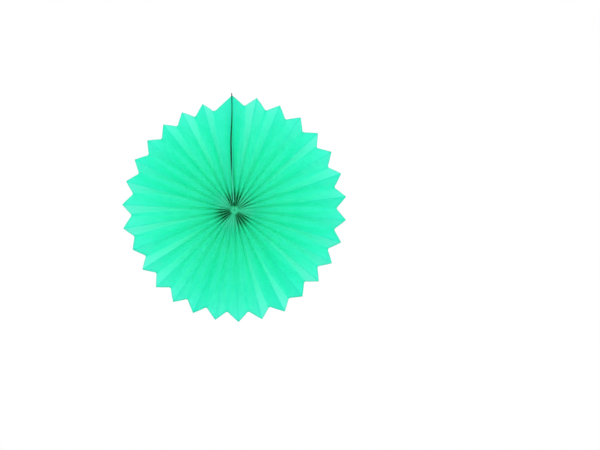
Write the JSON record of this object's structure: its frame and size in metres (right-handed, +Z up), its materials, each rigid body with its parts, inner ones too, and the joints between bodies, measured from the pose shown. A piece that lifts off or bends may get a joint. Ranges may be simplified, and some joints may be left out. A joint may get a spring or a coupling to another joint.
{
  "type": "paper fan rosette",
  "caption": "Round hanging decoration of thin paper folded in a zigzag and opened to a full circle, with a pointed rim, a gathered hub and a seam held by stiff end cards.",
  "frame": {"origin": "centre of the back of the hub, where the gathered back folds would touch a wall", "axes": "+Z up towards the seam and the hanging point, -Y out of the front, +X to the right seen from the front"},
  "size_m": [0.3986, 0.026, 0.4068],
  "materials": {
    "tissue_paper": "matt thin mint-green paper, slightly translucent",
    "grey_card": "matt grey board",
    "double_sided_tape": "cloudy adhesive film",
    "thread": "white cotton thread"
  },
  "bodies": {
    "root": {"pleated_sheet": "tissue_paper", "end_card_left": "grey_card", "end_card_right": "grey_card", "seam_tape": "double_sided_tape", "centre_tie": "thread"}
  },
  "joints": []
}
